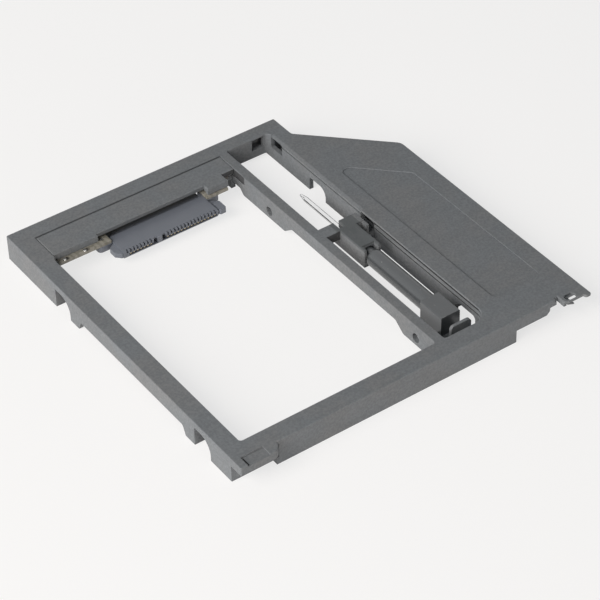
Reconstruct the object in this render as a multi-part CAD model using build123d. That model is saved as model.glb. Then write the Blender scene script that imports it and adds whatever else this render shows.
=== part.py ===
from build123d import *
import math
import os

# A moulded caddy that carries a 2.5 inch drive in the bay of a 9 mm optical drive.
# Millimetres. X runs across the bay, Y from the bezel end to the connector end, Z up.
# The pieces are drawn from the front left corner of the moulding, then moved to its middle.

# Drive and the window that it sits in
drive_width = 69.85
drive_play = 0.125
window_length = 102.06
window_radius = 1.0
screw_pitch = 76.6
screw_from_front = 9.36
screw_height = 4.23
screw_hole = 3.2

# Plan of the moulding
side_bar = 6.2
front_bar = 6.44
rib_width = 3.55
slot_width = 16.45
right_bar = 6.0
beam_depth = 18.5
wing_width = 25.7
wing_back_space = 10.25
wing_corner = 3.5
wing_root_corner = 2.0
slot_corner = 0.9
slot_front_corner = 5.0
slot_pillar = 1.7
slot_back_wall = 5.3
slot_back_lift = 1.3

# Heights and walls
case_height = 9.0
skin = 1.8
wall = 1.5
stiffener = 1.0
cell_pitch = 16.0
edge_round = 0.3
wing_skirt = 4.5

# Side skirt of the left bar, with its two rail notches
rail_notch_front = 12.6
rail_notch_back = 89.4
rail_notch_length = 8.3
rail_notch_height = 6.9
rail_notch_round = 5.0
skirt_lift = 3.26
skirt_foot = 4.8
skirt_ramp = 1.4

# Rib between the window and the tool slot
rib_wall = 1.6
rib_foot_lift = 1.5
rib_arch_lift = 4.54
rib_back_lift = 3.4
rib_arch_space = 5.6
rib_ramp = 4.0
rib_front_foot = 6.2
rib_back_foot = 8.4
rib_back_foot_end = 14.6
rib_corner = 1.4
gusset = 0.8

# Bezel catch at the front left corner
catch_length = 14.35
catch_reach = 3.1
catch_height = 2.9
catch_corner = 3.0
catch_setback = 2.0
catch_slit = 0.8
catch_slit_skin = 0.4
catch_slit_room = 1.6
catch_slit_low = 2.6
catch_slit_high = 7.6
catch_step_start = 2.5
catch_step_length = 7.7
catch_step_depth = 0.5
catch_groove = 0.8
catch_groove_depth = 1.2
catch_step_back = 0.8

# Hooked tab and nib at the front right corner
lip_length = 12.9
lip_height = 2.1
lip_gap = 1.5
lip_gap_depth = 1.2
latch_space = 3.5
tab_start = 9.3
tab_end = 2.5
tab_reach = 2.9
tab_thickness = 0.8
eyelet_length = 3.9
eyelet_width = 2.7
eyelet_rim = 0.4
eyelet_slope = 2.4
eyelet_slope_drop = 1.4
hook_width = 0.9
hook_reach = 2.3
hook_height = 2.0
nib_reach = 4.0
nib_width = 2.0

# Panel on the wing, and the line work beside the tool slot
panel_offset = 0.7
panel_width = 18.4
panel_front = 12.0
panel_back_space = 0.4
panel_cut = 14.7
panel_radius = 2.0
panel_depth = 0.3
slope_width = 1.0
slope_drop = 0.35
line_width = 0.5
line_depth = 0.8
upper_line_width = 0.7
upper_line_drop = 0.45
lower_line_height = 6.6
pocket_length = 6.2
pocket_low = 4.2
pocket_high = 8.4
pocket_margin = 0.1
wing_notch_start = 89.5
wing_notch_length = 8.8
wing_notch_height = 5.0
front_notch_start = 12.4
front_notch_length = 10.0
front_notch_height = 4.5

# Cradle that holds the screwdriver in the slot
tool_from_rib = 8.35
tool_height = 5.5
cradle_width = 6.3
cradle_front = 53.3
cradle_back = 70.4
cradle_floor = 2.3
crossbar_depth = 4.4
crossbar_floor = 5.5
crossbar_gap = 2.0
saddle_length = 2.4
shaft_notch_length = 3.3
shaft_notch_width = 2.1
shaft_notch_offset = -1.65
link_low = 2.3
link_high = 5.0
link_pocket_low = 5.4
link_length = 7.0
fin_thickness = 1.0
web_length = 10.0
web_low = 0.4
web_thickness = 1.2
stop_width = 7.6
stop_thickness = 1.0
stop_top = 8.8
stop_corner = 1.3
stop_from_bar = 2.6

# Screwdriver
grip_diameter = 6.0
grip_length = 28.3
grip_round = 0.5
neck_diameter = 4.4
neck_length = 8.6
neck_groove = 0.25
tail_width = 7.1
tail_length = 10.3
tail_height = 7.1
tail_round = 0.4
tool_play = 0.1
shaft_diameter = 1.8
shaft_reach = 30.6
shaft_grip = 12.0
tip_length = 3.0
tip_diameter = 0.9
tip_flute = 0.3

# Cover plate over the board
cover_lap = 0.7
cover_inset = 0.2
cover_length = 12.1
cover_seam = 0.12
seam_bevel = 0.2
cover_lip = 0.6
cover_lip_depth = 1.5
cover_setback = 1.3
cover_notch_depth = 2.3
cover_notch_bevel = 0.4
cover_corner_notch = 4.8
cover_corner_depth = 4.0
cover_tongue = 1.9
tongue_play = 0.1

# Board and the two screws that clamp it under the cover
board_thickness = 1.0
board_play = 0.4
board_front = 0.6
board_back = 0.5
board_overlap = 0.5
ledge_depth = 1.3
ledge_height = 1.3
boss_diameter = 4.4
boss_inset = 6.1
boss_from_window = 8.0
lug_length = 9.0
lug_width = 5.6
lug_thickness = 1.5
board_screw = 2.0
screw_clearance = 0.4
screw_head = 3.6
screw_head_height = 1.3
screw_skin = 0.7
screw_recess = 0.6
solder_hole = 1.1
solder_first = 3.6
solder_second = 11.0
solder_bead = 1.3
chip_length = 1.6
chip_width = 0.8
chip_height = 0.8
chip_cap = 0.3
chip_first = -6.0
chip_pitch = 10.0
chip_count = 3
chip_space = 0.8

# Drive receptacle: 7 signal and 15 power contacts
contact_pitch = 1.27
signal_contacts = 7
power_contacts = 15
contact_gap = 6.35
contact_width = 0.5
contact_thickness = 0.2
contact_play = 0.04
plug_centre = 38.7
plug_width = 35.4
plug_reach = 7.2
plug_length = 9.2
plug_height = 2.6
plug_drop = 0.2
plug_round = 0.3
plug_rear_length = 4.6
plug_rear_drop = 1.3
contact_shift = 0.78
contact_lift = 0.75
contact_setback = 0.3
mouth_height = 0.8
mouth_floor = 0.45
mouth_depth = 5.5
mouth_end = 0.65
key_space = 1.6
key_width = 1.4
key_height = 0.7
comb_width = 0.66
comb_depth = 0.9
comb_height = 1.0
shoulder_width = 2.2
shoulder_lift = 0.3
shoulder_height = 1.8
shoulder_length = 5.0
ear_width = 5.0
ear_length = 5.5
ear_height = 2.2
ear_post = 2.2
guide_reach = 3.0
guide_width = 2.4
guide_length = 4.3
guide_lift = 0.6
guide_height = 2.0
peg_diameter = 0.9

# Slimline plug at the back edge: 7 signal and 6 power contacts
host_centre = 28.3
host_signal_contacts = 7
host_power_contacts = 6
host_gap = 2.54
host_width = 22.6
host_height = 4.1
host_length = 8.0
host_shell = 0.8
host_cavity = 5.2
host_tongue = 1.2
host_clearance = 0.15
host_ear = 2.6

# Places that follow from the sizes above
window_x0 = side_bar
window_x1 = window_x0 + drive_width + 2 * drive_play
slot_x0 = window_x1 + rib_width
slot_x1 = slot_x0 + slot_width
body_x1 = slot_x1 + right_bar
case_x1 = body_x1 + wing_width
window_y0 = front_bar
window_y1 = window_y0 + window_length
case_y1 = window_y1 + beam_depth
wing_length = case_y1 - wing_back_space - wing_width
panel_back = wing_length - panel_back_space
slot_y1 = case_y1 - slot_back_wall
skin_z = case_height - skin
wing_z = case_height - wing_skirt
screw_rows = (window_y0 + screw_from_front, window_y0 + screw_from_front + screw_pitch)
below = -1.0
above = case_height + 1.0

cover_x0 = window_x0 + cover_lap
cover_x1 = window_x1 + cover_inset
cover_y1 = window_y1 + cover_length
lip_z = skin_z - cover_lip
board_top = lip_z - tongue_play
board_low = board_top - board_thickness
board_x0 = window_x0 + ledge_depth + board_play
board_x1 = window_x1 - ledge_depth - board_play
board_y0 = window_y1 - board_front
board_y1 = case_y1 - wall - board_back
boss_y = window_y1 + boss_from_window
boss_places = ((window_x0 + boss_inset, boss_y), (window_x1 - boss_inset, boss_y))
screw_seat_z = board_low - lug_thickness + screw_recess
screw_tip_z = case_height - screw_skin

plug_x = window_x0 + plug_centre
plug_y0 = window_y1 - plug_reach
plug_y1 = plug_y0 + plug_length
plug_top = board_low + plug_drop
plug_low = plug_top - plug_height
plug_x0 = plug_x - plug_width / 2
plug_x1 = plug_x + plug_width / 2
row_x = plug_x + contact_shift
notch_x0 = plug_x0 - ear_width + 0.9
notch_x1 = plug_x1 + 1.2
tail_y = plug_y1 + plug_rear_length

host_x = window_x0 + host_centre
host_y0 = case_y1 - host_length
host_z0 = board_low - host_height

tool_x = slot_x0 + tool_from_rib
bore_radius = neck_diameter / 2 + tool_play
web_top = web_low + web_thickness
tail_y1 = cradle_front - 0.5 - grip_length
neck_y0 = tail_y1 + grip_length
neck_y1 = neck_y0 + neck_length

# Each piece is moved so that the middle of the moulding's foot is at the origin
front_reach = max(nib_reach, catch_reach)
to_origin = Pos(-case_x1 / 2, -(case_y1 - front_reach) / 2, 0)


def block(x0, x1, y0, y1, z0, z1):
    """A block between two opposite corners."""
    middle = Pos((x0 + x1) / 2, (y0 + y1) / 2, (z0 + z1) / 2)
    return middle * Box(x1 - x0, y1 - y0, z1 - z0)


def rounded_block(x0, x1, y0, y1, z0, z1, radius):
    """A block with its four upright edges rounded."""
    radius = min(radius, 0.45 * (x1 - x0), 0.45 * (y1 - y0))
    middle = Pos((x0 + x1) / 2, (y0 + y1) / 2, z0)
    return extrude(middle * RectangleRounded(x1 - x0, y1 - y0, radius), z1 - z0)


def plate(points, radii, z0, z1):
    """A flat plate cut to an outline in plan, with a radius for each corner."""
    outline = make_face(FilletPolyline(*points, radius=radii, close=True))
    return extrude(Pos(0, 0, z0) * outline, z1 - z0, dir=(0, 0, 1))


def profile_along_x(points, radii, x0, x1):
    """An outline in Y and Z, run along X."""
    outline = make_face(FilletPolyline(*points, radius=radii, close=True))
    return extrude(Plane.YZ.offset(x0) * outline, x1 - x0, dir=(1, 0, 0))


def profile_along_y(points, radii, y0, y1):
    """An outline in X and Z, run along Y."""
    outline = make_face(FilletPolyline(*points, radius=radii, close=True))
    return extrude(Plane.XZ.offset(-y0) * outline, y1 - y0, dir=(0, 1, 0))


def rod_along_x(y, z, diameter, x0, x1):
    """A round bar or bore along X."""
    return Pos((x0 + x1) / 2, y, z) * Rot(0, 90, 0) * Cylinder(diameter / 2, x1 - x0)


def rod_along_y(x, z, diameter, y0, y1):
    """A round bar or bore along Y."""
    return Pos(x, (y0 + y1) / 2, z) * Rot(90, 0, 0) * Cylinder(diameter / 2, y1 - y0)


def upright(x, y, diameter, z0, z1):
    """A round boss or bore that stands upright."""
    return Pos(x, y, (z0 + z1) / 2) * Cylinder(diameter / 2, z1 - z0)


def cells(start, end):
    """Split a run of hollow bar into cells, with a stiffener between each two."""
    count = max(1, round((end - start) / cell_pitch))
    step = (end - start + stiffener) / count
    return [(start + i * step, start + (i + 1) * step - stiffener) for i in range(count)]


def contact_places(centre, signals, powers, gap):
    """The X places of a row of signal contacts and a row of power contacts."""
    span = (signals - 1 + powers - 1) * contact_pitch + gap
    first = centre - span / 2
    signal_row = [first + i * contact_pitch for i in range(signals)]
    second = signal_row[-1] + gap
    return signal_row, [second + i * contact_pitch for i in range(powers)]


# The frame, from its top plate down

def top_layer():
    """The thin uppermost layer, with the catch, the tab and the nib, and all edges softened."""
    z0 = case_height - tab_thickness
    tab_x0 = case_x1 - tab_start
    tab_x1 = case_x1 - tab_end
    points = [
        (0, -catch_reach), (catch_length, -catch_reach), (catch_length, 0),
        (tab_x0 - lip_gap, 0), (tab_x0 - lip_gap * 0.7, lip_gap_depth), (tab_x0, lip_gap_depth),
        (tab_x0, -hook_reach), (tab_x0 + lip_gap, -tab_reach), (tab_x1, -tab_reach),
        (case_x1 - nib_width, -nib_reach), (case_x1, -nib_reach),
        (case_x1, wing_length), (body_x1, wing_length + wing_width),
        (body_x1, case_y1), (0, case_y1),
    ]
    radii = [0.5, catch_corner, 0, 0.4, 0, 0, 0.4, 0.6, 0, 0.6, 0.7,
             wing_corner, wing_root_corner, 0.5, 0.5]
    layer = plate(points, radii, z0, case_height)
    layer -= window_cut() + slot_cut()
    top = layer.faces().sort_by(Axis.Z)[-1]
    layer = fillet(top.edges(), edge_round)
    eyelet_y1 = eyelet_width - tab_reach + eyelet_rim
    eyelet_x1 = tab_x0 + 1.2 + eyelet_length
    layer -= rounded_block(tab_x0 + 1.2, eyelet_x1, eyelet_y1 - eyelet_width, eyelet_y1,
                           below, above, eyelet_width * 0.42)
    slope_x0 = tab_x0 + 0.9
    slope_x1 = tab_x0 + 1.2 + eyelet_slope
    slope_z1 = case_height - tab_thickness * 0.6
    slope = [(slope_x0, slope_z1), (slope_x0, slope_z1 - tab_thickness),
             (slope_x1, slope_z1 - eyelet_slope_drop - tab_thickness * 0.6),
             (slope_x1, slope_z1 - eyelet_slope_drop)]
    return layer + profile_along_y(slope, [0, 0, 0, 0], eyelet_y1 - eyelet_width - 0.2, eyelet_y1 + 0.2)


def window_cut():
    """The opening for the drive."""
    return rounded_block(window_x0, window_x1, window_y0, window_y1, below, above, window_radius)


def slot_cut():
    """The opening for the tool, with a wide corner in front and a pillar corner at the back."""
    points = [(slot_x0, window_y0), (slot_x1, window_y0), (slot_x1, slot_y1), (slot_x0, slot_y1)]
    return plate(points, [slot_corner, slot_front_corner, slot_pillar, slot_corner], below, above)


def solid_body():
    """The body and the wing as one solid under the top layer, with both openings through it."""
    z1 = case_height - tab_thickness
    points = [(0, 0), (case_x1, 0), (case_x1, wing_length), (body_x1, wing_length + wing_width),
              (body_x1, case_y1), (0, case_y1)]
    radii = [0.5, 0.7, wing_corner, wing_root_corner, 0.5, 0.5]
    body = plate(points, radii, 0, z1)
    body -= block(body_x1, case_x1 + 1, below, case_y1, below, wing_z)
    body -= window_cut() + slot_cut()
    catch = [(0, -catch_reach), (catch_length, -catch_reach), (catch_length, catch_setback),
             (0, catch_setback)]
    body += plate(catch, [0.5, catch_corner, 0, 0], case_height - catch_height, z1)
    body -= block(below, catch_length, below, catch_setback, below, case_height - catch_height)
    return body


def bar_cells():
    """The hollows under the four bars, open below, with stiffeners left between them."""
    notch_front_end = rail_notch_front + rail_notch_length
    notch_back_end = rail_notch_back + rail_notch_length
    hollows = []
    left_runs = [(catch_setback + wall, rail_notch_front - wall),
                 (notch_front_end + wall, rail_notch_back - wall),
                 (notch_back_end + wall, case_y1 - wall)]
    for start, end in left_runs:
        for y0, y1 in cells(start, end):
            hollows.append(block(wall, side_bar - wall, y0, y1, below, skin_z))
    for x0, x1 in cells(catch_length + wall, body_x1 - wall):
        hollows.append(block(x0, x1, wall, front_bar - wall, below, skin_z))
    for y0, y1 in cells(front_bar + wall, slot_y1):
        hollows.append(block(slot_x1 + wall, body_x1 - wall, y0, y1, below, skin_z))
    for x0, x1 in cells(slot_x0 + wall, body_x1 - wall):
        hollows.append(block(x0, x1, slot_y1 + wall, case_y1 - wall, below, skin_z))
    return hollows


def wing_cells():
    """The hollow under the wing, split by one long stiffener and three cross ones."""
    inner_x1 = case_x1 - wall
    edge = wing_length + case_x1 - wall * math.sqrt(2)
    y0 = latch_space + wall
    points = [(body_x1, y0), (inner_x1, y0), (inner_x1, edge - inner_x1), (body_x1, edge - body_x1)]
    hollow = plate(points, [0.5, 0.5, wing_corner - wall, 0.5], below, skin_z)
    middle_x = (body_x1 + inner_x1) / 2
    ribs = block(middle_x - stiffener / 2, middle_x + stiffener / 2, below, case_y1, below, skin_z)
    for i in range(1, 4):
        y = y0 + i * (wing_length - y0) / 4
        ribs += block(body_x1 - 1, case_x1, y - stiffener / 2, y + stiffener / 2, below, skin_z)
    return hollow - ribs


def left_skirt_cuts():
    """The lifted bottom edge of the left skirt and its two rail notches."""
    start = rail_notch_front + rail_notch_length + skirt_foot
    end = rail_notch_back - skirt_foot
    relief = profile_along_x(
        [(start, below), (start, 0), (start + skirt_ramp, skirt_lift), (end - skirt_ramp, skirt_lift),
         (end, 0), (end, below)], [0, 0.6, 0.9, 0.9, 0.6, 0], below, side_bar + 0.5)
    cuts = [relief]
    for y in (rail_notch_front, rail_notch_back):
        points = [(y, below), (y, rail_notch_height), (y + rail_notch_length, rail_notch_height),
                  (y + rail_notch_length, below)]
        cuts.append(profile_along_x(points, [0, rail_notch_round, 0.3, 0], below, side_bar - wall))
    return cuts


def rib_cuts():
    """The thin wall of the rib, its arched bottom edge and its two drive screw holes."""
    hollow = block(window_x1 + rib_wall, slot_x0 + 1, front_bar, slot_y1, below, skin_z)
    gusset_count = max(2, round(window_length / (2 * cell_pitch)))
    for i in range(gusset_count):
        y = front_bar + (i + 0.5) * window_length / gusset_count
        hollow -= profile_along_y(
            [(window_x1, rib_arch_lift), (window_x1 + rib_wall, rib_arch_lift),
             (slot_x0, skin_z - gusset), (slot_x0, skin_z), (window_x1, skin_z)],
            [0, 0, 0, 0, 0], y - gusset / 2, y + gusset / 2)
    low_y, high_y = screw_rows
    foot_end = low_y + rib_front_foot
    foot_start = high_y - rib_back_foot
    back_end = high_y + rib_back_foot_end
    arch_end = window_y1 + rib_arch_space
    arch = profile_along_x(
        [(front_bar, below), (front_bar, rib_foot_lift), (foot_end, rib_foot_lift),
         (foot_end + rib_ramp, rib_arch_lift), (foot_start - rib_ramp, rib_arch_lift),
         (foot_start, rib_foot_lift), (back_end, rib_foot_lift), (back_end + 2.0, rib_back_lift),
         (arch_end, rib_back_lift), (arch_end, below)],
        [0, 0, rib_corner, rib_corner, rib_corner, rib_corner, 1.0, 0.8, 0, 0],
        window_x1 - 0.5, slot_x0 + 0.5)
    holes = [rod_along_x(y, screw_height, screw_hole, window_x1 - 1, slot_x0 + 1) for y in screw_rows]
    return [hollow, arch] + holes


def board_bay():
    """The bay under and behind the cover, open below and to the window."""
    bay = block(window_x0, window_x1, window_y1 - window_radius - 1, case_y1 - wall, below, skin_z)
    hatch = block(cover_x0, cover_x1, window_y1 - window_radius - 1, cover_y1, skin_z - 1, above)
    bevel = profile_along_y(
        [(cover_x0 - seam_bevel, case_height), (cover_x0, case_height - seam_bevel),
         (cover_x1, case_height - seam_bevel), (cover_x1 + seam_bevel, case_height),
         (cover_x1 + seam_bevel, above), (cover_x0 - seam_bevel, above)],
        [0, 0, 0, 0, 0, 0], window_y1, cover_y1)
    back_bevel = profile_along_x(
        [(cover_y1 - 1, case_height - seam_bevel), (cover_y1, case_height - seam_bevel),
         (cover_y1 + seam_bevel, case_height), (cover_y1 + seam_bevel, above), (cover_y1 - 1, above)],
        [0, 0, 0, 0, 0], cover_x0, cover_x1)
    host_x0 = host_x - host_width / 2 - host_clearance
    host_x1 = host_x + host_width / 2 + host_clearance
    host_way = block(host_x0, host_x1, case_y1 - wall - 1, case_y1 + 1, below, board_low)
    return [bay, hatch, bevel, back_bevel, host_way]


def board_seats():
    """The ledges under the cover, and the two lugs and the pad that carry the board."""
    y0 = window_y1 + cover_corner_depth + 1.0
    y1 = cover_y1 + ledge_depth
    ledge_z0 = skin_z - ledge_height
    seats = block(window_x0 - 0.5, window_x0 + ledge_depth, y0, y1, ledge_z0, skin_z)
    seats += block(window_x1 - ledge_depth, window_x1 + 0.5, y0, y1, ledge_z0, skin_z)
    lug_z0 = board_low - lug_thickness
    for x0, x1 in ((window_x0 - 0.5, window_x0 + lug_length), (window_x1 - lug_length, window_x1 + 0.5)):
        seats += rounded_block(x0, x1, boss_y - lug_width / 2, boss_y + lug_width / 2,
                               lug_z0, board_low, 0.4)
    pad_x = (plug_x + window_x1) / 2
    seats += block(pad_x - lug_width / 2, pad_x + lug_width / 2, board_y1 - 1.2, case_y1 - wall + 0.5,
                   lug_z0, board_low)
    return seats


def board_seat_holes():
    """Clearance for the board screws, with a recess for each head."""
    cuts = []
    for x, y in boss_places:
        cuts.append(upright(x, y, board_screw + screw_clearance, below, board_low + 0.5))
        cuts.append(upright(x, y, screw_head + screw_clearance, below, screw_seat_z))
    return cuts


def front_corner_cuts():
    """The stepped bezel catch on the left and the lifted lip under the wing on the right."""
    step_x1 = catch_step_start + catch_step_length
    floor = case_height - catch_step_depth
    cuts = [
        block(catch_step_start, step_x1, -catch_reach - 1, catch_step_back, floor, above),
        block(catch_step_start, catch_step_start + catch_groove, -catch_reach + 0.4, catch_step_back,
              floor - catch_groove_depth, above),
        block(catch_length, catch_length + catch_slit, below, catch_setback,
              catch_slit_low, catch_slit_high),
        block(catch_length - 0.3, catch_length + catch_slit + catch_slit_room, catch_slit_skin,
              front_bar - wall, catch_slit_low - 0.3, skin_z),
    ]
    lip_x0 = body_x1 + lip_length
    lip_z0 = case_height - lip_height
    skirt = profile_along_y(
        [(lip_x0 - 1.2, wing_z - 1), (lip_x0 - 1.2, wing_z), (lip_x0, wing_z + 1.2), (lip_x0, lip_z0),
         (case_x1 + 1, lip_z0), (case_x1 + 1, wing_z - 1)],
        [0, 0.4, 0.8, 0.4, 0, 0], below, latch_space)
    tab_x0 = case_x1 - tab_start
    gap = block(tab_x0 - lip_gap * 0.7, tab_x0, below, lip_gap_depth, below, above)
    space = block(tab_x0, case_x1 + 1, below, latch_space, below, skin_z)
    return cuts + [skirt, gap, space]


def hook():
    """The small flange that hangs from the left edge of the front tab."""
    x0 = case_x1 - tab_start
    z1 = case_height - tab_thickness + 0.2
    points = [(lip_gap_depth + 1, z1), (-hook_reach, z1), (-hook_reach, case_height - hook_height),
              (lip_gap_depth + 1, skin_z)]
    return profile_along_x(points, [0, 0, 0.2, 0], x0, x0 + hook_width)


def wing_panel():
    """The shallow panel on the wing, with its far corner cut like the wing's own."""
    x0 = body_x1 + panel_offset
    x1 = x0 + panel_width
    points = [(x0, panel_front), (x1, panel_front), (x1, panel_back - panel_cut),
              (x1 - panel_cut, panel_back), (x0, panel_back)]
    return plate(points, [panel_radius] * 5, case_height - panel_depth, above)


def slot_groove(depth, z0, z1):
    """A groove along the wing side of the slot in front of the cradle and round its front corner."""
    corner_x = slot_x1 - slot_front_corner
    corner_y = window_y0 + slot_front_corner
    groove = block(slot_x1 - 0.5, slot_x1 + depth, corner_y, cradle_back - link_length, z0, z1)
    turn = upright(corner_x, corner_y, 2 * (slot_front_corner + depth), z0, z1)
    return groove + (turn & block(corner_x, case_x1, below, corner_y, z0, z1))


def slot_line_work():
    """The two grooves in front of the cradle, and the sloped rim with one groove behind it."""
    y0 = cradle_back
    y1 = slot_y1 - slot_pillar
    slope = profile_along_y(
        [(slot_x1 - 0.5, case_height - slope_drop), (slot_x1, case_height - slope_drop),
         (slot_x1 + slope_width, case_height), (slot_x1 + slope_width, above),
         (slot_x1 - 0.5, above)], [0, 0, 0, 0, 0], y0, y1)
    side_z1 = case_height - slope_drop - line_depth
    side_groove = block(slot_x1 - 0.5, slot_x1 + line_depth, y0, y1, side_z1 - line_width, side_z1)
    upper_z1 = case_height - upper_line_drop
    upper_groove = slot_groove(line_depth, upper_z1 - upper_line_width, upper_z1)
    lower_groove = slot_groove(line_depth, lower_line_height - line_width, lower_line_height)
    return [slope, side_groove, upper_groove, lower_groove]


def slot_wall_cuts():
    """The dark pockets and low notches in the walls of the slot, and its lifted back wall."""
    corner = slot_pillar + pocket_margin
    inner_x = slot_x1 - 0.5
    outer_x = slot_x1 + wall + 0.1
    link_y0 = cradle_back - link_length
    cuts = [
        block(slot_x1 - corner - pocket_length * 0.75, slot_x1 - corner,
              slot_y1 - 0.5, slot_y1 + wall + 0.1, pocket_low, pocket_high),
        block(inner_x, outer_x, slot_y1 - corner - pocket_length, slot_y1 - corner,
              pocket_low, pocket_high),
        block(inner_x, outer_x, link_y0, cradle_back, link_pocket_low, pocket_high),
        block(slot_x0 + 0.5, slot_x1, slot_y1 - slot_pillar, slot_y1 + wall + 0.1,
              below, slot_back_lift),
    ]
    for start, length, height, back_round in (
            (wing_notch_start, wing_notch_length, wing_notch_height, 0.8),
            (front_notch_start, front_notch_length, front_notch_height, 3.0)):
        points = [(start, below), (start, height), (start + length, height), (start + length, below)]
        front_round = 3.2 if back_round < 1 else 1.5
        cuts.append(profile_along_x(points, [0, front_round, back_round, 0], inner_x, outer_x))
    return cuts


def cradle():
    """The socket for the screwdriver's neck, its crossbar and its low link to the wing side."""
    bar_y0 = cradle_back - crossbar_depth
    bar_x1 = slot_x1 - crossbar_gap
    half = cradle_width / 2
    socket = block(tool_x - half, tool_x + half, cradle_front, cradle_back, cradle_floor, case_height)
    bar = block(slot_x0 - 0.3, bar_x1, bar_y0, cradle_back, crossbar_floor, case_height)
    body = socket + bar
    top = body.faces().sort_by(Axis.Z)[-1]
    body = fillet(top.edges().filter_by(Axis.Y), edge_round * 0.8)
    link_y0 = cradle_back - link_length
    body += block(bar_x1 - fin_thickness, slot_x1 + 0.3, link_y0, cradle_back, link_low, link_high)
    body += block(bar_x1 - fin_thickness, bar_x1, link_y0, bar_y0 + 0.1, link_low, case_height - 0.3)
    body -= rod_along_y(tool_x, tool_height, 2 * bore_radius, cradle_front - 1, neck_y1 + 0.5)
    body -= rod_along_y(tool_x, tool_height, shaft_diameter + 4 * tool_play, neck_y1, cradle_back + 1)
    body -= block(tool_x - bore_radius, tool_x + bore_radius, cradle_front - 1,
                  cradle_front + saddle_length, tool_height, above)
    notch_x = tool_x + shaft_notch_offset
    body -= block(notch_x - shaft_notch_width / 2, notch_x + shaft_notch_width / 2,
                  cradle_back - shaft_notch_length, cradle_back + 1, tool_height, above)
    return body


def tool_stop():
    """The floor web at the front of the slot and the small upright stop on it."""
    x0 = slot_x0 - 0.3
    x1 = tool_x + stop_width / 2
    y0 = window_y0 - 0.5
    web = rounded_block(x0, x1, y0, window_y0 + web_length, web_low, web_top, 0.5)
    web += block(slot_x0 - rib_wall - 0.5, slot_x0 + 0.5, y0, window_y0 + web_length, web_low, web_top)
    stop_y0 = window_y0 + stop_from_bar
    points = [(tool_x - stop_width / 2, web_low), (x1, web_low), (x1, stop_top),
              (tool_x - stop_width / 2, stop_top)]
    web += profile_along_y(points, [0, 0, stop_corner, stop_corner], stop_y0, stop_y0 + stop_thickness)
    return web


def make_frame():
    """The one piece moulding."""
    frame = top_layer() + solid_body()
    for cut in bar_cells() + left_skirt_cuts() + board_bay():
        frame -= cut
    for cut in rib_cuts() + front_corner_cuts() + slot_wall_cuts() + slot_line_work():
        frame -= cut
    frame -= wing_cells()
    frame -= wing_panel()
    frame += hook()
    frame += board_seats()
    for cut in board_seat_holes():
        frame -= cut
    frame += cradle()
    frame += tool_stop()
    return frame


# The cover, the board and what is fixed to it

def make_cover():
    """The cover plate, with its front lip, back tongue, screw bosses and connector notch."""
    x0 = cover_x0 + cover_seam
    x1 = cover_x1 - cover_seam
    y0 = window_y1
    y1 = cover_y1 - cover_seam
    cover = block(x0, x1, y0, y1, skin_z, case_height)
    cover -= block(x0 - 1, notch_x0 + 0.01, y0 - 1, y0 + cover_setback, below, above)
    cover -= block(x1 - cover_corner_notch, x1 + 1, y0 - 1, y0 + cover_corner_depth, below, above)
    cover -= block(notch_x0, notch_x1, y0 - 1, y0 + cover_notch_depth, below, above)
    top = cover.faces().sort_by(Axis.Z)[-1]
    cover = chamfer(top.edges(), seam_bevel)
    bevel_y = y0 + cover_notch_depth
    cover -= profile_along_x(
        [(bevel_y - 1, below), (bevel_y - 1, case_height - 2 * seam_bevel),
         (bevel_y, case_height - 2 * seam_bevel), (bevel_y + cover_notch_bevel, skin_z),
         (bevel_y + cover_notch_bevel, below)], [0, 0, 0, 0, 0], notch_x0, notch_x1)
    board_edge = board_x0 + 0.3
    cover += block(board_edge, notch_x0, y0 + cover_setback, y0 + cover_setback + cover_lip_depth,
                   lip_z, skin_z)
    cover += block(notch_x1, x1 - cover_corner_notch, y0, y0 + cover_lip_depth, lip_z, skin_z)
    cover += block(board_edge + 3, board_x1 - 3, y1 - cover_tongue, y1 + cover_tongue,
                   lip_z, skin_z - tongue_play)
    cover += block(board_edge + 3, board_x1 - 3, y1 - cover_tongue, y1 - cover_seam,
                   lip_z, skin_z)
    for x, y in boss_places:
        cover += upright(x, y, boss_diameter, board_top, skin_z)
        cover -= upright(x, y, board_screw, board_top - 1, screw_tip_z)
    return cover


def peg_places():
    """The centres of the two metal pegs that hold the receptacle to the board."""
    y = board_y0 + ear_post
    return [(plug_x0 - ear_width + ear_post, y), (plug_x1 + ear_width - ear_post, y)]


def make_board():
    """The board, cut back round the receptacle, with its holes."""
    board = block(board_x0, board_x1, board_y0, board_y1, board_low, board_top)
    corner_y1 = window_y1 + cover_corner_depth + board_front
    board -= block(plug_x0 - 0.4, plug_x1 + 0.4, board_y0 - 1, tail_y - board_overlap, below, above)
    board -= block(cover_x1 - cover_corner_notch - board_front, board_x1 + 1, board_y0 - 1, corner_y1,
                   below, above)
    board -= block(board_x1 - 2.0, board_x1 + 1, board_y1 - 4.0, board_y1 + 1, below, above)
    for x, y in boss_places:
        board -= upright(x, y, board_screw + screw_clearance, below, above)
    for x, y in peg_places():
        board -= upright(x, y, peg_diameter + 0.2, below, above)
    for x, y in solder_places():
        board -= upright(x, y, solder_hole, below, above)
    return board


def solder_places():
    """The two open plated holes on the front edge of the board, left of the receptacle."""
    y = board_y0 + solder_hole / 2 + 0.2
    return [(board_x0 + solder_first, y), (board_x0 + solder_second, y)]


def make_solder_beads():
    """Two flat beads of solder beside the plated holes."""
    beads = []
    for x, y in solder_places():
        dome = Pos(x - solder_hole - 0.4, y, board_top) * Sphere(solder_bead / 2)
        beads.append(dome & block(x - 5, x, y - 2, y + 2, board_top, board_top + 0.35))
    return Compound(children=beads)


def chip_places():
    """The centres of the supply capacitors on the upper face of the board."""
    y = tail_y + chip_space
    return [(plug_x + chip_first + i * chip_pitch, y) for i in range(chip_count)]


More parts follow.
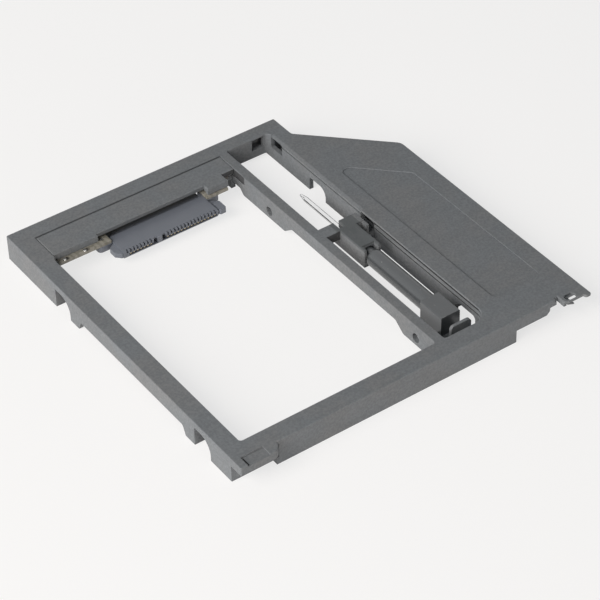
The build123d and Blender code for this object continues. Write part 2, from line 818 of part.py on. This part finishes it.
def make_capacitors():
    """Three ceramic capacitors, each with its body narrower than its two metal ends."""
    chips = []
    inset = 0.05
    for x, y in chip_places():
        x0, x1 = x - chip_length / 2, x + chip_length / 2
        y0, y1 = y - chip_width / 2, y + chip_width / 2
        z1 = board_top + chip_height * 0.6
        body = block(x0 + inset, x1 - inset, y0 + inset, y1 - inset, board_top, z1 - inset)
        body += block(x0, x0 + chip_cap, y0, y1, board_top, z1)
        body += block(x1 - chip_cap, x1, y0, y1, board_top, z1)
        chips.append(body)
    return Compound(children=chips)


def make_board_screws():
    """Two pan head screws, driven up through the lugs and the board into the cover."""
    screws = []
    low_z = screw_seat_z - screw_head_height
    for x, y in boss_places:
        profile = [(0, low_z), (screw_head * 0.36, low_z),
                   (screw_head / 2, low_z + screw_head_height * 0.45), (screw_head / 2, screw_seat_z),
                   (board_screw / 2, screw_seat_z), (board_screw / 2, screw_tip_z), (0, screw_tip_z)]
        shape = make_face(Plane.XZ * Polyline(*profile, close=True))
        screw = Pos(x, y, 0) * revolve(shape, Axis.Z)
        arm = screw_head * 0.3
        for half_x, half_y in ((arm, 0.22), (0.22, arm)):
            screw -= block(x - half_x, x + half_x, y - half_y, y + half_y, low_z - 1, low_z + 0.7)
        screws.append(screw)
    return Compound(children=screws)


# The drive receptacle

def plug_contact(x, width, play):
    """One contact: a long beam in the mouth, a step up behind, and a foot under the board."""
    beam_z0 = plug_low + contact_lift - play
    beam_z1 = plug_low + contact_lift + contact_thickness + play
    beam_y0 = plug_y0 + contact_setback - play
    foot_y0 = tail_y
    foot_z1 = board_low
    points = [(beam_y0, beam_z0), (foot_y0 + contact_thickness + play, beam_z0),
              (foot_y0 + contact_thickness + play, foot_z1 - contact_thickness),
              (foot_y0 + 1.5, foot_z1 - contact_thickness), (foot_y0 + 1.5, foot_z1),
              (foot_y0 - play, foot_z1), (foot_y0 - play, beam_z1), (beam_y0, beam_z1)]
    half = width / 2 + play
    return profile_along_x(points, [0] * 8, x - half, x + half)


def make_plug_contacts(places):
    """A row of receptacle contacts."""
    return Compound(children=[plug_contact(x, contact_width, 0) for x in places])


def plug_mouth(x0, x1, key_x):
    """One blade opening of the receptacle, with the short leg of its L open on top in front."""
    z0 = plug_low + mouth_floor
    y1 = plug_y0 + mouth_depth
    key_x0 = key_x - key_width / 2
    key_x1 = key_x + key_width / 2
    mouth = block(x0, x1, plug_y0 - 1, y1, z0, z0 + mouth_height)
    mouth += block(key_x0, key_x1, plug_y0 - 1, y1, z0, z0 + mouth_height + key_height)
    mouth += block(key_x0, key_x1, plug_y0 - 1, plug_y0 + comb_depth * 0.8, z0, above)
    return mouth


def make_drive_plug():
    """The receptacle's housing, with comb slots over its mouth, shoulders, ears and a guide."""
    signal_row, power_row = contact_places(row_x, signal_contacts, power_contacts, contact_gap)
    body = block(plug_x0, plug_x1, plug_y0, plug_y1, plug_low, plug_top)
    body = fillet(body.edges().filter_by(Axis.X).group_by(Axis.Y)[0], plug_round)
    body += block(plug_x0, plug_x1, plug_y1 - 1, tail_y, plug_low, plug_top - plug_rear_drop)
    shoulder_y1 = plug_y0 + shoulder_length
    shoulder_z0 = plug_low + shoulder_lift
    for side in (-1, 1):
        edge = plug_x0 if side < 0 else plug_x1
        out = edge + side * shoulder_width
        shoulder = plate([(edge - side, plug_y0 + 0.3), (edge + side * 0.6, plug_y0 + 0.3),
                          (out, plug_y0 + 2.0), (out, shoulder_y1), (edge - side, shoulder_y1 + 2)],
                         [0, 0.4, 0.6, 0.6, 0], shoulder_z0, shoulder_z0 + shoulder_height)
        body += shoulder
        ear_x0, ear_x1 = sorted((edge - side * 0.5, edge + side * ear_width))
        ear_z0 = board_low - ear_height
        body += rounded_block(ear_x0, ear_x1, board_y0 - 0.1, board_y0 + ear_length,
                              ear_z0, board_low, 1.2)
    guide_x1 = plug_x1 + guide_reach
    guide_y0 = plug_y0 - 0.4
    guide_z0 = plug_low + guide_lift
    body += rounded_block(guide_x1 - guide_width, guide_x1, guide_y0, guide_y0 + guide_length,
                          guide_z0, guide_z0 + guide_height, 0.5)
    signal_key = signal_row[-1] + key_space
    power_key = power_row[0] - key_space
    body -= plug_mouth(signal_row[0] - mouth_end, signal_key, signal_key)
    body -= plug_mouth(power_key, power_row[-1] + mouth_end, power_key)
    blank_slot = signal_row[0] - contact_pitch
    for x in [blank_slot] + signal_row + power_row:
        body -= block(x - comb_width / 2, x + comb_width / 2, plug_y0 - 1, plug_y0 + comb_depth,
                      plug_top - comb_height, above)
    for x in signal_row + power_row:
        body -= plug_contact(x, contact_width, contact_play)
    for x, y in peg_places():
        body -= upright(x, y, peg_diameter, board_low - ear_height * 0.6, above)
    return body


def make_plug_pegs():
    """The two metal pegs pressed into the receptacle's ears and soldered through the board."""
    pegs = []
    for x, y in peg_places():
        pegs.append(upright(x, y, peg_diameter, board_low - ear_height * 0.6, board_top + 0.1))
    return Compound(children=pegs)


# The slimline plug

def host_tongue_z():
    """The height of the upper face of the plug's tongue."""
    return host_z0 + (host_height + host_tongue) / 2


def host_contact(x, width, play):
    """One contact: a flat pad on the tongue, a step up behind, and a foot under the board."""
    z0 = host_tongue_z() - contact_thickness - play
    z1 = host_tongue_z() + play
    foot_y1 = host_y0
    points = [(case_y1 - 1.0 + play, z0), (foot_y1 - contact_thickness - play, z0),
              (foot_y1 - contact_thickness - play, board_low - contact_thickness),
              (foot_y1 - 1.6, board_low - contact_thickness), (foot_y1 - 1.6, board_low),
              (foot_y1 + play, board_low), (foot_y1 + play, z1), (case_y1 - 1.0 + play, z1)]
    half = width / 2 + play
    return profile_along_x(points, [0] * 8, x - half, x + half)


def make_host_contacts(places):
    """A row of plug contacts."""
    return Compound(children=[host_contact(x, contact_width, 0) for x in places])


def make_host_plug():
    """The plug's housing: a shell open at the back, with two tongues inside it."""
    signal_row, power_row = contact_places(host_x, host_signal_contacts, host_power_contacts, host_gap)
    x0 = host_x - host_width / 2
    x1 = host_x + host_width / 2
    z1 = board_low
    y1 = case_y1 - 0.1
    body = block(x0, x1, host_y0, y1, host_z0, z1)
    cavity_y0 = y1 - host_cavity
    body -= block(x0 + host_shell, x1 - host_shell, cavity_y0, y1 + 1, host_z0 + host_shell,
                  z1 - host_shell)
    tongue_z1 = host_tongue_z()
    for row, key in ((signal_row, 1), (power_row, 0)):
        tongue_x0 = row[0] - contact_pitch * 0.62
        tongue_x1 = row[-1] + contact_pitch * 0.62
        body += block(tongue_x0, tongue_x1, cavity_y0 - 0.5, y1 - 0.6, tongue_z1 - host_tongue, tongue_z1)
        if key:
            body += block(tongue_x0, tongue_x0 + 0.5, cavity_y0 - 0.5, y1 - 0.6,
                          tongue_z1 - host_tongue, tongue_z1 + 0.7)
    for side in (-1, 1):
        edge = x0 if side < 0 else x1
        ear_x0, ear_x1 = sorted((edge - side * 0.5, edge + side * host_ear))
        body += rounded_block(ear_x0, ear_x1, host_y0 + 1.0, host_y0 + 1.0 + 2 * host_ear,
                              z1 - host_height * 0.5, z1, 0.8)
    for x in signal_row + power_row:
        body -= host_contact(x, contact_width, contact_play)
    return body


# The screwdriver

def make_driver_handle():
    """The handle: a round grip with a turned neck in front and a squared tail behind."""
    outline = [(0, tail_y1), (grip_diameter / 2, tail_y1), (grip_diameter / 2, neck_y0 - grip_round),
               (grip_diameter / 2 - grip_round, neck_y0), (neck_diameter / 2, neck_y0),
               (neck_diameter / 2, neck_y0 + 2.2), (neck_diameter / 2 - neck_groove, neck_y0 + 2.4),
               (neck_diameter / 2 - neck_groove, neck_y0 + 3.2), (neck_diameter / 2, neck_y0 + 3.4),
               (neck_diameter / 2, neck_y1 - 0.4), (neck_diameter / 2 - 0.4, neck_y1), (0, neck_y1)]
    turned = revolve(make_face(Polyline(*outline, close=True)), Axis.Y)
    handle = Pos(tool_x, 0, tool_height) * turned
    tail = block(tool_x - tail_width / 2, tool_x + tail_width / 2, tail_y1 - tail_length, tail_y1,
                 web_top, web_top + tail_height)
    tail = fillet(tail.edges().filter_by(Axis.Y), tail_round)
    handle += tail
    handle -= rod_along_y(tool_x, tool_height, shaft_diameter, neck_y1 - shaft_grip, neck_y1 + 1)
    return handle


def make_driver_shaft():
    """The steel shaft, set in the handle, with a tapered cross tip."""
    start = neck_y1 - shaft_grip
    end = neck_y1 + shaft_reach
    outline = [(0, start), (shaft_diameter / 2, start), (shaft_diameter / 2, end - tip_length),
               (tip_diameter / 2, end - 0.4), (tip_diameter / 2 - 0.2, end), (0, end)]
    shaft = revolve(make_face(Polyline(*outline, close=True)), Axis.Y)
    for i in range(4):
        angle = math.radians(45 + 90 * i)
        reach = shaft_diameter * 0.52
        flute = rod_along_y(0, 0, shaft_diameter * 0.5, -tip_length, 1)
        flute = Rot(-math.degrees(math.atan2(tip_flute, tip_length)), 0, 0) * flute
        flute = Pos(0, end, reach) * flute
        shaft -= Rot(0, math.degrees(angle), 0) * flute
    return Pos(tool_x, 0, tool_height) * shaft


def write(node, shape):
    """Move a piece to the shared frame and write it under its node's name."""
    export_step(to_origin * shape, f"parts/{node}.step")


os.makedirs("parts", exist_ok=True)
plug_signal_row, plug_power_row = contact_places(row_x, signal_contacts, power_contacts, contact_gap)
host_signal_row, host_power_row = contact_places(host_x, host_signal_contacts, host_power_contacts, host_gap)
write("caddy_frame", make_frame())
write("connector_cover", make_cover())
write("adapter_board", make_board())
write("board_screws", make_board_screws())
write("solder_beads", make_solder_beads())
write("supply_capacitors", make_capacitors())
write("drive_plug_housing", make_drive_plug())
write("drive_signal_contacts", make_plug_contacts(plug_signal_row))
write("drive_power_contacts", make_plug_contacts(plug_power_row))
write("drive_plug_pegs", make_plug_pegs())
write("host_plug_housing", make_host_plug())
write("host_signal_contacts", make_host_contacts(host_signal_row))
write("host_power_contacts", make_host_contacts(host_power_row))
write("driver_handle", make_driver_handle())
write("driver_shaft", make_driver_shaft())
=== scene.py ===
"""Looks for the drive bay adapter bracket: materials, floor, world, lamps and camera."""

import math

import bpy
from mathutils import Matrix, Vector


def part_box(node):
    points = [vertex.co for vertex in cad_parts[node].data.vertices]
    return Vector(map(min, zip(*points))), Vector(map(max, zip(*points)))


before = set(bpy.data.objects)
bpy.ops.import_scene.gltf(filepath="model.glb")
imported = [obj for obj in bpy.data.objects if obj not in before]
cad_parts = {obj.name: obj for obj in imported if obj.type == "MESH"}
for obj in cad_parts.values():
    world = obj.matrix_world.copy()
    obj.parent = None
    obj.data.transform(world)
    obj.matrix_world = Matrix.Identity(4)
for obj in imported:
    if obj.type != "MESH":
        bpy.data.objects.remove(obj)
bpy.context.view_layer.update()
bpy.ops.object.select_all(action="DESELECT")

MM = 0.001

# Camera, as solved from the straight edges of the photograph
camera_place = (-0.331837, -0.487895, 0.497406)
camera_azimuth = -34.38
camera_elevation = 40.45
camera_roll = -1.692
camera_lens = 149.4
camera_sensor = 36.0
camera_near = 0.01
camera_far = 20.0

# Colours, as linear values
white = (1.0, 1.0, 1.0)
shell_grey = (0.200, 0.212, 0.225)
shell_warm = (0.216, 0.215, 0.217)
shell_dark = (0.145, 0.154, 0.165)
shell_rubbed = (0.100, 0.108, 0.112)
# Painted shade along the seam behind the connector cover
seam_painted_shade = (0.030, 0.031, 0.033)
# Painted shade in three hollows: the cover's cut corner, the crossbar's front face and the slot's
# grooves
hollow_painted_shade = (0.036, 0.035, 0.036)
scuff_pale = (0.34, 0.34, 0.34)
plug_grey = (0.160, 0.172, 0.202)
host_black = (0.018, 0.018, 0.020)
handle_grey = (0.082, 0.088, 0.094)
board_pale = (0.300, 0.280, 0.238)
board_track = (0.220, 0.206, 0.170)
# Flux stains round the beads, and painted shade on the board in the cut corner's range
flux_and_painted_shade = (0.030, 0.025, 0.020)
tin_bright = (0.72, 0.71, 0.69)
tin_dull = (0.46, 0.45, 0.43)
gold_bright = (0.76, 0.62, 0.37)
gold_dull = (0.52, 0.43, 0.28)
ceramic_tan = (0.38, 0.27, 0.17)
steel_bright = (0.80, 0.80, 0.80)
steel_dull = (0.58, 0.58, 0.58)
floor_white = (0.91, 0.87, 0.845)
world_tint = (0.90, 0.97, 1.0)

# Surfaces
shell_specular = 0.15
coat_roughness = 0.2
handle_coat = 0.3
board_coat = 0.2

# Floor, in metres, and how much of their own light the floor and the world give
floor_size = 8.0
floor_drop = 0.00005
floor_roughness = 0.9
floor_glow = 0.72
world_light = 0.12

# Lamps that look at the middle: name, place, size, power and colour
lamps = (
    ("left soft box", (-1.0, -0.15, 0.66), 0.9, 17.0, (1.0, 0.98, 0.945)),
    ("left low strip", (-1.3, 0.2, 0.16), 0.3, 1.8, (1.0, 0.97, 0.93)),
    ("front low strip", (-0.2, -1.38, 0.14), 0.3, 5.6, (1.0, 0.96, 0.91)),
)

# Darker places, in millimetres, with painted shade along the cover's seam. A pair says up to where
# they are full and where they end.
socket_y = -18.5
socket_side = (4.2, 4.5)
socket_length = (29.2, 29.6)
socket_top = (8.2, 8.5)
seam_reach = (0.15, 0.60)
seam_end = 0.5
cover_tongue = 1.9
stain_shift = 0.8
stain_side = (0.4, 1.0)
stain_length = (0.4, 0.9)

# Boxes of painted shade in hollows, in millimetres: their low and high corners
cut_corner = ((7.70, 44.8, 6.1), (13.0, 51.2, 8.75))
crossbar_face = ((15.95, 4.0, -1.0), (20.95, 4.8, 8.75))
slot_grooves = ((32.45, -50.0, 5.9), (33.6, 1.9, 8.75))
box_edge = 0.05

# Capacitors, in millimetres
chip_half = 0.8
chip_body_half = 0.5
chip_edge = 0.02


class Wire:
    """A shader socket that takes part in Python expressions."""

    def __init__(self, tree, socket):
        self.tree = tree
        self.socket = socket

    def add(self, kind, settings=None, sockets=None, output=0):
        """Add a node. Its settings are set first, then the values or links of its sockets."""
        node = self.tree.nodes.new(kind)
        for name, value in (settings or {}).items():
            setattr(node, name, value)
        for name, value in (sockets or {}).items():
            target = node.inputs[name]
            if isinstance(value, Wire):
                self.tree.links.new(value.socket, target)
            else:
                target.default_value = value
        return Wire(self.tree, node.outputs[output])

    def math(self, operation, first, second=0.0):
        """One Math node."""
        return self.add("ShaderNodeMath", {"operation": operation}, {0: first, 1: second})

    def __add__(self, other):
        return self.math("ADD", self, other)

    def __sub__(self, other):
        return self.math("SUBTRACT", self, other)

    def __mul__(self, other):
        return self.math("MULTIPLY", self, other)

    def __rsub__(self, other):
        return self.math("SUBTRACT", other, self)

    __radd__ = __add__
    __rmul__ = __mul__

    def size(self):
        """The value without its sign."""
        return self.math("ABSOLUTE", self)

    def part(self):
        """The part of the value after its whole number."""
        return self.math("FRACT", self)

    def least(self, other):
        """The smaller of two values."""
        return self.math("MINIMUM", self, other)

    def most(self, other):
        """The larger of two values."""
        return self.math("MAXIMUM", self, other)

    def step(self, low, high):
        """A smooth rise from 0 at low to 1 at high."""
        settings = {"interpolation_type": "SMOOTHSTEP"}
        ends = {0: self, 1: low, 2: high, 3: 0.0, 4: 1.0}
        return self.add("ShaderNodeMapRange", settings, ends)

    def near(self, centre, inner, outer):
        """1 up to the inner distance from a centre, falling to 0 at the outer distance."""
        return 1.0 - (self - centre).size().step(inner, outer)

    def within(self, low, high):
        """1 between two ends and 0 outside them, with soft edges."""
        half = (high - low) / 2
        return self.near((low + high) / 2, half - box_edge, half + box_edge)

    def mix(self, first, second):
        """A colour between two, with this value as the share of the second."""
        return self.add("ShaderNodeMix", {"data_type": "RGBA"},
                        {0: self, 6: paint(first), 7: paint(second)}, 2)


def paint(colour):
    """A colour with its fourth number, or a socket as it is."""
    return colour if isinstance(colour, Wire) else (*colour, 1.0)


def darker(colour, share):
    """A share of a colour."""
    return tuple(share * part for part in colour)


class Finish:
    """A new material with its shader, its coordinates and the usual noises."""

    def __init__(self, name, metallic=0.0, coat=0.0, specular=0.5):
        self.material = bpy.data.materials.new(name)
        self.material.use_nodes = True
        self.tree = self.material.node_tree
        self.shader = self.tree.nodes["Principled BSDF"]
        self.shader.inputs["Metallic"].default_value = metallic
        self.shader.inputs["Coat Weight"].default_value = coat
        self.shader.inputs["Coat Roughness"].default_value = coat_roughness
        self.shader.inputs["Specular IOR Level"].default_value = specular
        self.start = Wire(self.tree, None)
        self.place = self.start.add("ShaderNodeTexCoord", output=3)

    def noise(self, grain_mm, detail, stretch=(1.0, 1.0, 1.0), rough=0.5, turn=0.0):
        """Noise with about this grain in millimetres, from 0 to 1."""
        place = self.start.add("ShaderNodeMapping", sockets={
            "Vector": self.place, "Rotation": (0.0, 0.0, turn), "Scale": stretch})
        return self.start.add("ShaderNodeTexNoise", sockets={
            "Vector": place, "Scale": 1.0 / (grain_mm * MM), "Detail": detail, "Roughness": rough})

    def axes(self):
        """The three coordinates of the place, in millimetres."""
        split = self.start.add("ShaderNodeSeparateXYZ", sockets={0: self.place}).socket.node
        return [Wire(self.tree, split.outputs[i]) * (1.0 / MM) for i in range(3)]

    def put(self, name, value):
        """Link or set one socket of the shader."""
        target = self.shader.inputs[name]
        if isinstance(value, Wire):
            self.tree.links.new(value.socket, target)
        else:
            target.default_value = paint(value) if isinstance(value, tuple) else value

    def bump(self, height, depth_mm):
        """Raise the surface by a height from 0 to 1, times this depth."""
        self.put("Normal", self.start.add("ShaderNodeBump", sockets={
            "Strength": 1.0, "Distance": depth_mm * MM, "Height": height}))


# The finishes

def moulded_shell(name, gloss=0.0):
    """Spark textured plastic: grain, clouds, flow marks, scuffs and a rubbed top, with painted
    shade along the seam and in three hollows.
    """
    finish = Finish(name, specular=shell_specular)
    x, y, z = finish.axes()
    grain = finish.noise(0.22, 2.0)
    pits = finish.noise(0.8, 3.0, rough=0.6)
    clouds = finish.noise(14.0, 3.0)
    drift = finish.noise(5.0, 2.0)
    flow = finish.noise(2.2, 2.0, stretch=(0.10, 1.0, 1.0), turn=0.35)
    scuffs = finish.noise(0.5, 2.0, stretch=(1.0, 0.03, 1.0), turn=0.9)
    patches = finish.noise(11.0, 1.0)
    scuffed = scuffs.step(0.66, 0.74) * patches.step(0.52, 0.66)
    colour = (clouds.step(0.35, 0.68) * 0.75).mix(shell_grey, shell_warm)
    speckle = (pits * 0.55 + grain * 0.20 + drift * 0.12 + flow * 0.13).step(0.36, 0.64)
    colour = (speckle * 0.8).mix(colour, shell_dark)
    rubbed = x.near(tool_x, *socket_side) * y.near(socket_y, *socket_length) * z.step(*socket_top)
    colour = (rubbed * (0.55 + drift * 0.5)).mix(colour, shell_rubbed)
    # Painted shade along the seam behind the connector cover, across the cover's width
    across = x.near(cover_x, cover_half, cover_half + seam_end)
    colour = (y.near(cover_back, *seam_reach) * across * 0.7).mix(colour, seam_painted_shade)
    # Painted shade in the cut corner, on the crossbar's front face and in the slot's grooves
    for low, high in (cut_corner, crossbar_face, slot_grooves):
        corner = x.within(low[0], high[0]) * y.within(low[1], high[1]) * z.within(low[2], high[2])
        colour = (corner * (0.60 + drift * 0.4)).mix(colour, hollow_painted_shade)
    colour = (scuffed * 0.22).mix(colour, scuff_pale)
    rough = 0.52 - gloss + (pits - 0.5) * 0.22 + (clouds - 0.5) * 0.12 - scuffed * 0.06
    finish.put("Base Color", colour)
    finish.put("Roughness", rough)
    finish.bump(grain * 0.6 + pits * 0.9 + scuffed * 0.3, 0.035)
    return finish.material


def smooth_plastic(name, base, dark, roughness):
    """Smoother plastic, with faint flow lines and fine polish marks."""
    finish = Finish(name)
    clouds = finish.noise(5.0, 3.0)
    fine = finish.noise(0.25, 2.0)
    lines = finish.noise(0.5, 2.0, stretch=(1.0, 0.12, 1.0))
    finish.put("Base Color", (clouds * 0.6 + (fine - 0.5) * 0.5).mix(base, dark))
    finish.put("Roughness", roughness + (clouds - 0.5) * 0.16 + (lines - 0.5) * 0.10)
    finish.bump(fine * 0.5 + lines, 0.012)
    return finish.material


def turned_grip():
    """The handle: satin plastic with lengthwise draw marks and small nicks."""
    finish = Finish("handle moulding", coat=handle_coat)
    draw = finish.noise(0.35, 3.0, stretch=(1.0, 0.08, 1.0))
    clouds = finish.noise(4.0, 2.0)
    nicks = finish.noise(0.9, 1.0).step(0.70, 0.78)
    colour = (clouds * 0.7).mix(handle_grey, darker(handle_grey, 0.75))
    colour = (nicks * 0.35).mix(colour, scuff_pale)
    finish.put("Base Color", colour)
    finish.put("Roughness", 0.30 + (draw - 0.5) * 0.12 + nicks * 0.1)
    finish.bump(draw + nicks * 0.6, 0.008)
    return finish.material


def metal(name, bright, dull, roughness, brushed=(1.0, 1.0, 1.0), spots=0.0):
    """Plated metal with a soft change of tone, drawn or turned marks, and dull spots."""
    finish = Finish(name, metallic=1.0)
    clouds = finish.noise(1.6, 3.0)
    marks = finish.noise(0.12, 2.0, stretch=brushed)
    spotted = finish.noise(0.7, 2.0).step(0.60, 0.72) * spots
    tone = clouds * 0.5 + (marks - 0.5) * 0.4 + spotted * 0.4
    rough = roughness + (clouds - 0.5) * 0.18 + (marks - 0.5) * 0.14 + spotted * 0.2
    finish.put("Base Color", tone.mix(bright, dull))
    finish.put("Roughness", rough)
    finish.bump(marks, 0.006)
    return finish.material


def printed_board(joints):
    """Pale solder mask over copper tracks, with a faint glass weave, flux about the joints and
    painted shade in the cut corner's range.
    """
    finish = Finish("printed board", coat=board_coat)
    x, y = finish.axes()[:2]
    warp = finish.noise(0.35, 1.0, stretch=(1.0, 4.0, 1.0))
    weft = finish.noise(0.35, 1.0, stretch=(4.0, 1.0, 1.0))
    weave = (warp + weft) * 0.5
    lane = ((x * 0.5 + y * 0.12).part() - 0.5).size()
    bend = ((y * 0.42).part() - 0.5).size()
    choose = finish.noise(7.0, 0.0).step(0.47, 0.5)
    tracks = (lane.step(0.24, 0.30) * choose).most(bend.step(0.30, 0.36) * (1.0 - choose))
    colour = tracks.mix(board_pale, board_track)
    colour = ((weave - 0.5).size() * 1.2).mix(colour, board_track)
    smear = finish.noise(0.7, 2.0)
    # Painted shade across the board in the cut corner's range
    low, high = cut_corner
    colour = (x.within(low[0], high[0]) * 0.8).mix(colour, flux_and_painted_shade)
    for joint_x, joint_y in joints:
        stain = x.near(joint_x + stain_shift, *stain_side) * y.near(joint_y, *stain_length)
        colour = (stain * smear.step(0.20, 0.45)).mix(colour, flux_and_painted_shade)
    finish.put("Base Color", colour)
    finish.put("Roughness", 0.40 + (weave - 0.5) * 0.2)
    finish.bump(tracks * 0.7 + weave * 0.3, 0.03)
    return finish.material


def chip_ceramic(chip_x):
    """Capacitors: a tan fired body between two tinned ends."""
    finish = Finish("chip ceramic")
    x = finish.axes()[0]
    body = None
    for centre in chip_x:
        inside = x.near(centre, chip_body_half - chip_edge, chip_body_half + chip_edge)
        body = inside if body is None else body.most(inside)
    fine = finish.noise(0.1, 2.0)
    finish.put("Base Color", body.mix(tin_bright, ceramic_tan))
    finish.put("Metallic", 1.0 - body)
    finish.put("Roughness", 0.30 + body * 0.25 + (fine - 0.5) * 0.2)
    finish.bump(fine, 0.008)
    return finish.material


def dress(node, material):
    """Give a CAD node one material."""
    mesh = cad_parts[node].data
    mesh.materials.clear()
    mesh.materials.append(material)


def span(node, side):
    """Where a CAD node lies along one axis, in millimetres: its low end and its high end."""
    low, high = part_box(node)
    return low[side] / MM, high[side] / MM


# Places of the pieces that the finishes follow, in millimetres

cover_low, cover_high = span("connector_cover", 0)
cover_x = (cover_low + cover_high) / 2
cover_half = (cover_high - cover_low) / 2
cover_back = span("connector_cover", 1)[1] - cover_tongue
tool_x = sum(span("driver_shaft", 0)) / 2
chip_low, chip_high = span("supply_capacitors", 0)
chip_places = [chip_low + chip_half, (chip_low + chip_high) / 2, chip_high - chip_half]
bead_left, bead_right = span("solder_beads", 0)
bead_front, bead_back = span("solder_beads", 1)
bead_half = (bead_back - bead_front) / 2
bead_y = bead_front + bead_half
bead_places = [(bead_left + bead_half, bead_y), (bead_right - bead_half, bead_y)]

receptacle = smooth_plastic("receptacle plastic", plug_grey, darker(plug_grey, 0.8), 0.40)
host_plug = smooth_plastic("host plug plastic", host_black, darker(host_black, 0.6), 0.42)
contacts = metal("contact gold", gold_bright, gold_dull, 0.24, (1.0, 0.1, 1.0), 0.3)

dress("caddy_frame", moulded_shell("shell moulding"))
dress("connector_cover", moulded_shell("cover moulding", 0.02))
dress("adapter_board", printed_board(bead_places))
dress("board_screws", metal("screw zinc", tin_bright, tin_dull, 0.32, (1.0, 1.0, 0.1), 1.0))
dress("solder_beads", metal("solder tin", tin_bright, tin_dull, 0.26, spots=0.6))
dress("supply_capacitors", chip_ceramic(chip_places))
dress("drive_plug_housing", receptacle)
dress("host_plug_housing", host_plug)
for plug in ("drive", "host"):
    for row in ("signal", "power"):
        dress(f"{plug}_{row}_contacts", contacts)
dress("drive_plug_pegs", metal("peg tin", tin_bright, tin_dull, 0.30, (1.0, 1.0, 0.1), 0.5))
dress("driver_handle", turned_grip())
dress("driver_shaft", metal("shaft nickel", steel_bright, steel_dull, 0.18, (1.0, 0.05, 1.0), 0.2))


# Floor, world, lamps and camera

def direct_rays(start):
    """1 for camera, glossy and transmission rays, and 0 for the others."""
    path = start.add("ShaderNodeLightPath").socket.node
    seen, mirrored, passed = [
        Wire(start.tree, path.outputs[kind])
        for kind in ("Is Camera Ray", "Is Glossy Ray", "Is Transmission Ray")]
    return (seen + mirrored + passed).least(1.0)


def floor():
    """A white floor that keeps the shadow, and shows white to the camera and in reflections."""
    bpy.ops.mesh.primitive_plane_add(size=floor_size, location=(0.0, 0.0, -floor_drop))
    plane = bpy.context.active_object
    plane.name = "floor"
    finish = Finish("floor white")
    finish.put("Base Color", floor_white)
    finish.put("Roughness", floor_roughness)
    start = finish.start
    direct = direct_rays(start) * floor_glow
    glow = start.add("ShaderNodeEmission", sockets={"Color": paint(white), "Strength": 1.0})
    body = Wire(finish.tree, finish.shader.outputs[0])
    both = start.add("ShaderNodeMixShader", sockets={0: direct, 1: body, 2: glow})
    finish.tree.links.new(both.socket, finish.tree.nodes["Material Output"].inputs["Surface"])
    plane.data.materials.append(finish.material)


def surroundings():
    """A soft even world, which shows white to the camera and in reflections."""
    world = bpy.data.worlds.new("studio")
    bpy.context.scene.world = world
    world.use_nodes = True
    tree = world.node_tree
    back = tree.nodes["Background"]
    direct = direct_rays(Wire(tree, None))
    strength = direct * (1.0 - world_light) + world_light
    tree.links.new(strength.socket, back.inputs["Strength"])
    tint = direct.mix(world_tint, white)
    tree.links.new(tint.socket, back.inputs["Color"])


def lamp(name, place, size, power, colour):
    """A square soft lamp that looks at the middle of the scene."""
    data = bpy.data.lights.new(name, "AREA")
    data.shape = "SQUARE"
    data.size = size
    data.energy = power
    data.color = colour
    item = bpy.data.objects.new(name, data)
    bpy.context.scene.collection.objects.link(item)
    item.location = place
    item.rotation_euler = (-Vector(place)).to_track_quat("-Z", "Y").to_euler()


def camera():
    """The camera, turned by its azimuth, elevation and roll."""
    azimuth = math.radians(camera_azimuth)
    elevation = math.radians(camera_elevation)
    roll = math.radians(camera_roll)
    level = math.cos(elevation)
    ahead = Vector((-math.sin(azimuth) * level, math.cos(azimuth) * level, -math.sin(elevation)))
    side = ahead.cross(Vector((0.0, 0.0, 1.0))).normalized()
    top = side.cross(ahead)
    right = side * math.cos(roll) + top * math.sin(roll)
    up = top * math.cos(roll) - side * math.sin(roll)
    data = bpy.data.cameras.new("photo camera")
    data.lens = camera_lens
    data.sensor_width = camera_sensor
    data.clip_start = camera_near
    data.clip_end = camera_far
    item = bpy.data.objects.new("photo camera", data)
    bpy.context.scene.collection.objects.link(item)
    turn = Matrix((right, up, -ahead)).transposed().to_4x4()
    item.matrix_world = Matrix.Translation(camera_place) @ turn
    bpy.context.scene.camera = item


floor()
surroundings()
for values in lamps:
    lamp(*values)
camera()
bpy.context.scene.view_settings.view_transform = "Standard"
